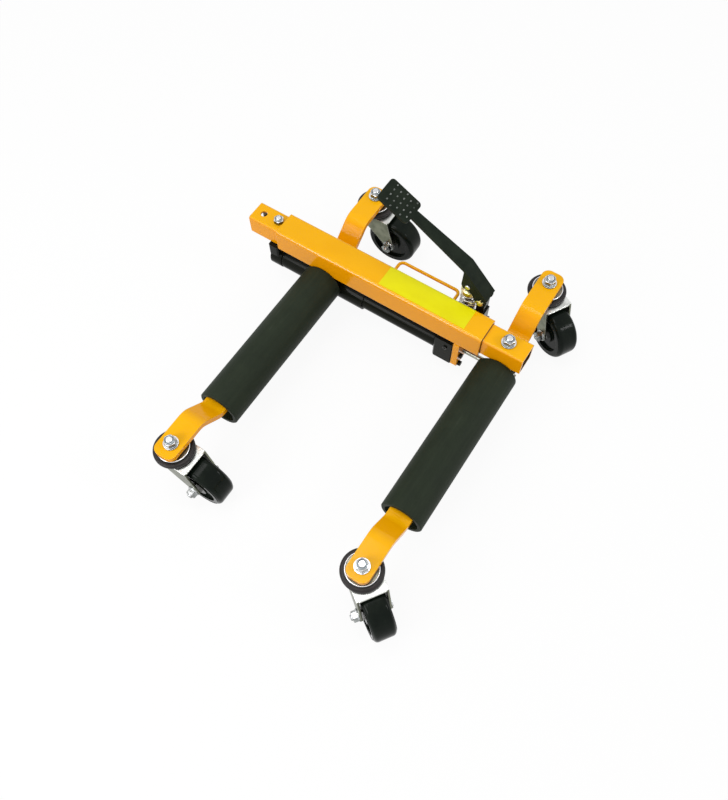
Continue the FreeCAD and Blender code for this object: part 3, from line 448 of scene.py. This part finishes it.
# The pump: an oiled plunger in a black gland, pushed up by a coil spring of light wire under a
# yellow-passivated cup. The spring's end coils lie closed.
yellow_zinc, zinc_shader, zinc_place = new_finish("yellow_zinc")
zinc_round = broken_edges(zinc_place, 0.0006)[0]
zinc_drift = zinc_place.noise(90, 3, 0.6)
zinc_grain = zinc_place.noise(1300, 2)
lay(zinc_shader, {
    "Base Color": zinc_drift.add("ShaderNodeValToRGB", {"stops": [
        (0.30, (0.74, 0.60, 0.25)), (0.48, (0.84, 0.73, 0.38)),
        (0.60, (0.70, 0.70, 0.36)), (0.75, (0.82, 0.60, 0.38))]}, {"Fac": zinc_drift}),
    "Metallic": 1.0,
    "Roughness": 0.2 + zinc_grain * 0.14,
    "Normal": relief(zinc_grain, 0.00003, zinc_round),
})
dress(yellow_zinc, "spring_cup", "fulcrum_pin")

spring_wire = plated("spring_wire", (0.60, 0.59, 0.55), (0.34, 0.33, 0.29), 0.24, 0.00002, 0.0003)
spring_low, spring_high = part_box("return_spring")
spring_mid = (spring_low + spring_high) / 2
wire_radius = 0.0015
coil_radius = (spring_high.x - spring_low.x) / 2 - wire_radius
coil_turns = 5.6
closed_turns = 0.9
spring_base = spring_low.z + wire_radius
spring_rise = spring_high.z - spring_low.z - 2 * wire_radius
closed_pitch = 0.0036
open_pitch = (spring_rise - 2 * closed_turns * closed_pitch) / (coil_turns - 2 * closed_turns)
coil_steps = 40
spring_path = []
for k in range(int(coil_turns * coil_steps) + 1):
    turns = k / coil_steps
    lower = min(turns, closed_turns)
    upper = max(0, turns - (coil_turns - closed_turns))
    height = (lower + upper) * closed_pitch + (turns - lower - upper) * open_pitch
    angle = 2 * math.pi * turns
    spring_path.append(Vector((spring_mid.x + coil_radius * math.cos(angle),
                               spring_mid.y + coil_radius * math.sin(angle), spring_base + height)))
spring = swept("coil_spring", spring_path, [wire_radius] * len(spring_path), spring_wire, "frame", sides=12)
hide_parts("return_spring")
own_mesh(spring)


# The clip that keeps the pedal's pivot pin: a spring wire in the shape of an R, in yellow zinc. One leg goes
# through the pin, and the other bulges round it and ends in a lead-in. Its bends are in millimetres.
pin_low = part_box("fulcrum_pin")[0]
places = {j["name"]: Vector(j["pos_m"]) for j in frame["joints"] if "pos_m" in j}
clip_middle = Vector((places["pedal_press"].x, pin_low.y + 0.0014, places["pedal_press"].z))
clip_way = Vector((-0.6, 0, -0.8))
clip_aside = Vector((-0.8, 0, 0.6))
clip_bends = [(-10, 0), (0, 0), (9, 0), (17, 0), (21.5, 1.5), (24, 4.5), (23, 8), (19.5, 9), (17, 6.6),
              (13.5, 5), (8, 5.6), (3, 6.9), (-2, 6.6), (-6, 5), (-10, 6.4)]
clip_wire = 0.0009
millimetre = 0.001


def curve(bends, steps):
    """Points of a smooth curve through the bends."""
    points = []
    for k in range(len(bends) - 1):
        a, b, c, d = (Vector(bends[max(0, min(len(bends) - 1, k + n))]) for n in (-1, 0, 1, 2))
        for step in range(steps):
            t = step / steps
            points.append((b * 2 + (c - a) * t + (a * 2 - b * 5 + c * 4 - d) * t ** 2
                           + (b * 3 - a - c * 3 + d) * t ** 3) / 2)
    return points + [Vector(bends[-1])]


clip_path = [clip_middle + (clip_way * p.x + clip_aside * p.y) * millimetre for p in curve(clip_bends, 6)]
clip = swept("pin_clip", clip_path, [clip_wire] * len(clip_path), yellow_zinc, "frame", sides=8)


# The foot pedal: a flat bar bent at its knee, with a spade-shaped foot plate and punched grip dots, all in a
# rough black powder coat. Its cheeks ride on the pivot pin and carry the pin that pushes the plunger.
powder_black, powder_shader, powder_place = new_finish("powder_black")
powder_round, powder_edge = broken_edges(powder_place, 0.0013)
powder_clouds = powder_place.noise(35, 4, 0.6)
powder_grit = powder_place.noise(950, 3, 0.6)
powder_rub = powder_edge.between(0.04, 0.3) * (0.5 + powder_clouds)
powder_body = powder_clouds.between(0.35, 0.7).tint((0.007, 0.012, 0.007), (0.014, 0.021, 0.013))
lay(powder_shader, {
    "Base Color": (powder_rub * 0.6).tint(powder_body, (0.07, 0.075, 0.065)),
    "Roughness": 0.42 + powder_grit * 0.25,
    "Specular IOR Level": 0.1,
    "Normal": relief(powder_grit, 0.00035, powder_round),
})
dress(powder_black, "pedal_lever", "lever_cheeks")
rubbed_dot = plated("rubbed_dot", (0.19, 0.20, 0.19), (0.05, 0.06, 0.05), 0.3, 0.00003, 0.0004)
dress(rubbed_dot, "grip_studs")


# The carry handle: a bent 6 mm rod welded to the tube's back, in the same enamel.
dress(yellow_enamel, "carry_handle")
handle_low, handle_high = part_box("carry_handle")
handle_rod = 0.006
handle_z = (handle_low.z + handle_high.z) / 2
handle_bead = 0.0013
bead_ring = 0.0036
bead_y = tube_high.y + 0.0008
bead_steps = 48
for side, x in (("left", handle_low.x + handle_rod / 2), ("right", handle_high.x - handle_rod / 2)):
    ring = []
    for k in range(bead_steps):
        angle = 2 * math.pi * k / bead_steps
        ring.append(Vector((x + bead_ring * math.cos(angle), bead_y,
                            handle_z + bead_ring * math.sin(angle))))
    sizes = [handle_bead * (0.85 + 0.3 * abs(math.sin(8 * math.pi * k / bead_steps)))
             for k in range(bead_steps)]
    swept(f"handle_weld_{side}", ring, sizes, yellow_enamel, "frame", closed=True)


# The bolts: plated nuts with a locking collar on the six upright bolts. Their tops are painted light and
# their flats painted shade, with painted highlights on their edges. The collar is a turned ring that grips
# the bolt's end.
def turned(name, profile, foot, axis, material, body, sides=48):
    """A turned ring: a closed profile of radii and heights, counter-clockwise, spun about an axis."""
    aside = axis.orthogonal().normalized()
    other = axis.cross(aside)
    points = []
    for k in range(sides):
        angle = 2 * math.pi * k / sides
        outward = aside * math.cos(angle) + other * math.sin(angle)
        points += [foot + outward * radius + axis * height for radius, height in profile]
    rows = len(profile)
    faces = []
    for k in range(sides):
        a, b = k * rows, (k + 1) % sides * rows
        faces += [(a + r, b + r, b + (r + 1) % rows, a + (r + 1) % rows) for r in range(rows)]
    return shape(name, points, faces, material, body)


nut_plate, nut_shader, nut_place = new_finish("nut_plate")
nut_round, nut_edge = broken_edges(nut_place, 0.0007)
nut_clouds = nut_place.noise(90, 4, 0.6)
nut_grain = nut_place.noise(1100, 2)
# Painted light and shade: tops that face the sky are coloured bright and the flats dark, and the edges are
# painted near white as a painted highlight.
nut_flats_painted_shade = nut_clouds.between(0.35, 0.7).tint((0.27, 0.29, 0.27), (0.13, 0.14, 0.13))
nut_tops_painted_light = nut_clouds.between(0.35, 0.7).tint((0.84, 0.85, 0.87), (0.60, 0.62, 0.65))
nut_body = facing_up(nut_place, 0.35, 0.8).tint(nut_flats_painted_shade, nut_tops_painted_light)
lay(nut_shader, {
    "Base Color": (nut_edge.between(0.03, 0.25) * 0.8).tint(nut_body, (0.9, 0.9, 0.9)),
    "Metallic": 1.0,
    "Roughness": 0.14 + nut_clouds * 0.14,
    "Normal": relief(nut_grain, 0.00003, nut_round),
})
dress(nut_plate, "left_stem_bolts", "right_stem_bolts", "head_bolt", "anchor_bolt")

collar_grey = plated("collar_grey", (0.38, 0.43, 0.46), (0.22, 0.25, 0.27), 0.2, 0.00003, 0.0004)
collar_profile = [(0.0064, -0.0002), (0.0090, -0.0002), (0.0088, 0.0017), (0.0083, 0.0027), (0.0076, 0.0031),
                  (0.0069, 0.0028), (0.0064, 0.0021)]
upright = Vector((0, 0, 1))


def nut_collar(name, node, x, y, bolt_end, scale, body):
    """A locking collar on the nut at a bolt's end, which stands bolt_end above the nut."""
    foot = Vector((x, y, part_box(node)[1].z - bolt_end))
    profile = [(radius * scale, height * scale) for radius, height in collar_profile]
    turned(name, profile, foot, upright, collar_grey, body)


large_bolt_end = 0.004
small_bolt_end = 0.0035
small_collar = 0.84
for node, bolt_end, scale, body in (("head_bolt", large_bolt_end, 1, "carriage"),
                                    ("anchor_bolt", small_bolt_end, small_collar, "frame")):
    bolt_middle = (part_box(node)[0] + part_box(node)[1]) / 2
    nut_collar(node + "_collar", node, bolt_middle.x, bolt_middle.y, bolt_end, scale, body)


# The casters: zinc-plated pressed forks that swivel on plated races under a black dust ring, with moulded
# black wheels on steel axle bolts. The hood's front edge is rolled. The legs carry painted shade, darker
# than the hood's top, which carries painted light, and the fork's edges a painted highlight.
fork_zinc, fork_shader, fork_place = new_finish("fork_zinc")
fork_round, fork_edge = broken_edges(fork_place, 0.0012)
fork_clouds = fork_place.noise(70, 4, 0.6)
fork_spangle = fork_place.noise(900, 2)
# Painted light and shade: the legs take a dark colour and the hood's top a bright one by which way they
# face, and the edges are painted near white as a painted highlight.
fork_legs_painted_shade = fork_clouds.between(0.3, 0.75).tint((0.20, 0.21, 0.15), (0.11, 0.12, 0.08))
fork_hood_painted_light = fork_clouds.between(0.35, 0.75).tint((0.74, 0.75, 0.73), (0.54, 0.55, 0.52))
fork_body = facing_up(fork_place, 0.35, 0.8).tint(fork_legs_painted_shade, fork_hood_painted_light)
lay(fork_shader, {
    "Base Color": (fork_edge.between(0.03, 0.25) * 0.5).tint(fork_body, (0.9, 0.9, 0.88)),
    "Metallic": 1.0,
    "Roughness": 0.24 + fork_clouds * 0.14,
    "Normal": relief(fork_spangle, 0.00005, fork_round),
})
# The races are coloured a dark olive as painted shade, which stands in for the shade under the arms.
race_plate_painted_shade = plated("race_plate_painted_shade", (0.24, 0.25, 0.20), (0.13, 0.14, 0.11), 0.2, 0.00004, 0.0008)

moulded_black, moulded_shader, moulded_place = new_finish("moulded_black")
moulded_round = broken_edges(moulded_place, 0.001)[0]
moulded_clouds = moulded_place.noise(40, 4, 0.6)
moulded_grain = moulded_place.noise(700, 2)
lay(moulded_shader, {
    "Base Color": moulded_clouds.between(0.35, 0.75).tint((0.004, 0.007, 0.005), (0.009, 0.013, 0.009)),
    "Roughness": 0.08 + moulded_clouds * 0.12,
    "Specular IOR Level": 0.09,
    "Normal": relief(moulded_grain, 0.00005, moulded_round),
})

ring_rubber, ring_shader, ring_place = new_finish("ring_rubber")
ring_clouds = ring_place.noise(45, 4, 0.6)
ring_grain = ring_place.noise(1100, 2)
lay(ring_shader, {
    "Base Color": ring_clouds.between(0.3, 0.75).tint((0.011, 0.009, 0.009), (0.024, 0.020, 0.020)),
    "Roughness": 0.3 + ring_clouds * 0.2,
    "Specular IOR Level": 0.3,
    "Normal": ring_grain.add("ShaderNodeBump", {}, {"Height": ring_grain, "Distance": 0.00006}),
})
dress(ring_rubber, "left_dust_rings", "right_dust_rings")
dress(race_plate_painted_shade, "left_top_races", "right_top_races")

race_boss = 0.0045
rim_radius = 0.0268
rim_round = 0.0012
rim_profile = [(rim_radius + rim_round * math.cos(k * math.pi / 5), rim_round * math.sin(k * math.pi / 5))
               for k in range(10)]
hood_reach = 0.042
hood_half = 0.0235
hood_lip = 0.0018
hood_top = 0.1126
wheel_half = 0.020
mould_bead = 0.0006
mould_bead_sink = 0.0001
mould_bead_radius = 0.0445
wheel_steps = 72
washer_inner = 0.0056
washer_outer = 0.0112
washer_thick = 0.0016
leg_outer = 0.027
washer_profile = [(washer_inner, 0), (washer_outer, 0), (washer_outer, washer_thick * 0.8),
                  (washer_outer - washer_thick * 0.2, washer_thick), (washer_inner, washer_thick)]
for corner in ("front_left", "front_right", "rear_left", "rear_right"):
    side, body = ("left", "frame") if "left" in corner else ("right", "carriage")
    dress(fork_zinc, f"{corner}_fork")
    dress(nut_plate, f"{corner}_axle")
    dress(moulded_black, f"{corner}_wheel")
    dress(ground_steel, f"{corner}_wheel_bush")
    stem = places[f"{corner}_swivel"]
    axle = places[f"{corner}_wheel_spin"]
    trail = Vector((axle.x - stem.x, axle.y - stem.y, 0)).normalized()
    across = upright.cross(trail)
    nut_collar(f"{corner}_collar", f"{side}_stem_bolts", stem.x, stem.y, large_bolt_end, 1, body)
    race_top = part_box(f"{side}_top_races")[1].z - race_boss
    rim_foot = Vector((stem.x, stem.y, race_top))
    rim = turned(f"{corner}_race_rim", rim_profile, rim_foot, upright, bright_plate, body, wheel_steps)
    lip_middle = Vector((stem.x, stem.y, hood_top - hood_lip)) + trail * hood_reach
    lip_line = [lip_middle + across * (hood_half * k / 4) for k in range(-4, 5)]
    lip = swept(f"{corner}_hood_lip", lip_line, [hood_lip] * len(lip_line), fork_zinc, f"caster_{corner}")
    for face, way in (("inner", across), ("outer", -across)):
        bead = []
        for k in range(wheel_steps):
            angle = 2 * math.pi * k / wheel_steps
            outward = trail * math.cos(angle) + upright * math.sin(angle)
            bead.append(axle + way * (wheel_half - mould_bead_sink) + outward * mould_bead_radius)
        swept(f"{corner}_{face}_bead", bead, [mould_bead] * wheel_steps, moulded_black,
                      f"rolling_{corner}", closed=True, sides=8)
        washer = turned(f"{corner}_{face}_washer", washer_profile, axle + way * leg_outer, way, nut_plate,
                        f"caster_{corner}")


# The studio: a white floor that keeps a faint shadow, a sky that dims to the horizon, and three soft boxes.
# The eye, mirrors and clear pieces see plain white, and only the light on the pieces comes from the sky.
floor_size = 6
floor_mesh = bpy.data.meshes.new("floor")
floor_mesh.from_pydata([(-floor_size, -floor_size, 0), (floor_size, -floor_size, 0),
                        (floor_size, floor_size, 0), (-floor_size, floor_size, 0)], [], [(0, 1, 2, 3)])
floor = bpy.data.objects.new("floor", floor_mesh)
bpy.context.scene.collection.objects.link(floor)
floor_white, floor_shader, floor_place = new_finish("floor_white")
lay(floor_shader, {"Base Color": (0.9, 0.9, 0.9, 1), "Roughness": 0.9, "Specular IOR Level": 0.1})
seen = floor_place.add("ShaderNodeLightPath", {}, {}, "Is Camera Ray")
mirrored = floor_place.add("ShaderNodeLightPath", {}, {}, "Is Glossy Ray")
through = floor_place.add("ShaderNodeLightPath", {}, {}, "Is Transmission Ray")
glow = floor_place.add("ShaderNodeEmission", {}, {"Color": (1, 1, 1, 1), "Strength": 1.0}, "Emission")
shown = floor_place.add("ShaderNodeMixShader", {}, {0: (seen + mirrored + through) * 0.92,
                                                    1: Wire(floor_shader.outputs["BSDF"]), 2: glow})
floor_tree = floor_white.node_tree
floor_tree.links.new(shown.socket, floor_tree.nodes["Material Output"].inputs["Surface"])
floor_mesh.materials.append(floor_white)

world = bpy.data.worlds.new("studio")
bpy.context.scene.world = world
world.use_nodes = True
sky_place = Wire(world.node_tree.nodes.new("ShaderNodeTexCoord").outputs["Generated"])
sky_height = sky_place.add("ShaderNodeSeparateXYZ", {}, {"Vector": sky_place}, "Z")
sky_light = sky_height.between(0, 0.8).tint((0.36, 0.36, 0.37), (0.71, 0.71, 0.70))
sky_seen = sky_place.add("ShaderNodeLightPath", {}, {}, "Is Camera Ray")
sky_mirrored = sky_place.add("ShaderNodeLightPath", {}, {}, "Is Glossy Ray")
sky_through = sky_place.add("ShaderNodeLightPath", {}, {}, "Is Transmission Ray")
sky = (sky_seen + sky_mirrored + sky_through).tint(sky_light, (1, 1, 1))
world.node_tree.links.new(sky.socket, world.node_tree.nodes["Background"].inputs["Color"])


def soft_box(name, place, aim, size, power):
    """A square lamp at place, turned to aim."""
    lamp = bpy.data.lights.new(name, "AREA")
    lamp.size = size
    lamp.energy = power
    box = bpy.data.objects.new(name, lamp)
    box.location = place
    box.rotation_euler = (Vector(aim) - Vector(place)).to_track_quat("-Z", "Y").to_euler()
    bpy.context.scene.collection.objects.link(box)


soft_box("soft_box_front", (-0.8, -1.9, 1.3), (0, 0, 0.1), 1.0, 20)
soft_box("soft_box_top", (-0.4, -0.2, 2.4), (0, 0, 0.1), 0.9, 11)
soft_box("soft_box_right", (1.9, 0.7, 1.6), (0, 0.1, 0.1), 0.4, 8)


# The camera stands where the photograph was taken, above the front right, with its slight tilt. Its lens is
# given in pixels of the picture's long side.
lens_pixels = 783.92
frame_long_side = 800
turn, lift, tilt = (math.radians(v) for v in (34.17, 63.27, -1.13))
back = Vector((math.sin(turn) * math.cos(lift), -math.cos(turn) * math.cos(lift), math.sin(lift)))
level = Vector((math.cos(turn), math.sin(turn), 0))
camera_up = back.cross(level)
right = level * math.cos(tilt) + camera_up * math.sin(tilt)
top = camera_up * math.cos(tilt) - level * math.sin(tilt)
camera_data = bpy.data.cameras.new("camera")
camera_data.sensor_width = 36
camera_data.lens = lens_pixels / frame_long_side * camera_data.sensor_width
camera = bpy.data.objects.new("camera", camera_data)
camera_from_tube_end, camera_from_tube, camera_height = 0.6538, 0.7089, 1.3101
camera_place = (tube_low.x + camera_from_tube_end, tube_mid_y - camera_from_tube, camera_height)
camera.matrix_world = Matrix.Translation(camera_place) @ Matrix((right, top, back)).transposed().to_4x4()
bpy.context.scene.collection.objects.link(camera)
bpy.context.scene.camera = camera
bpy.context.scene.view_settings.view_transform = "Standard"
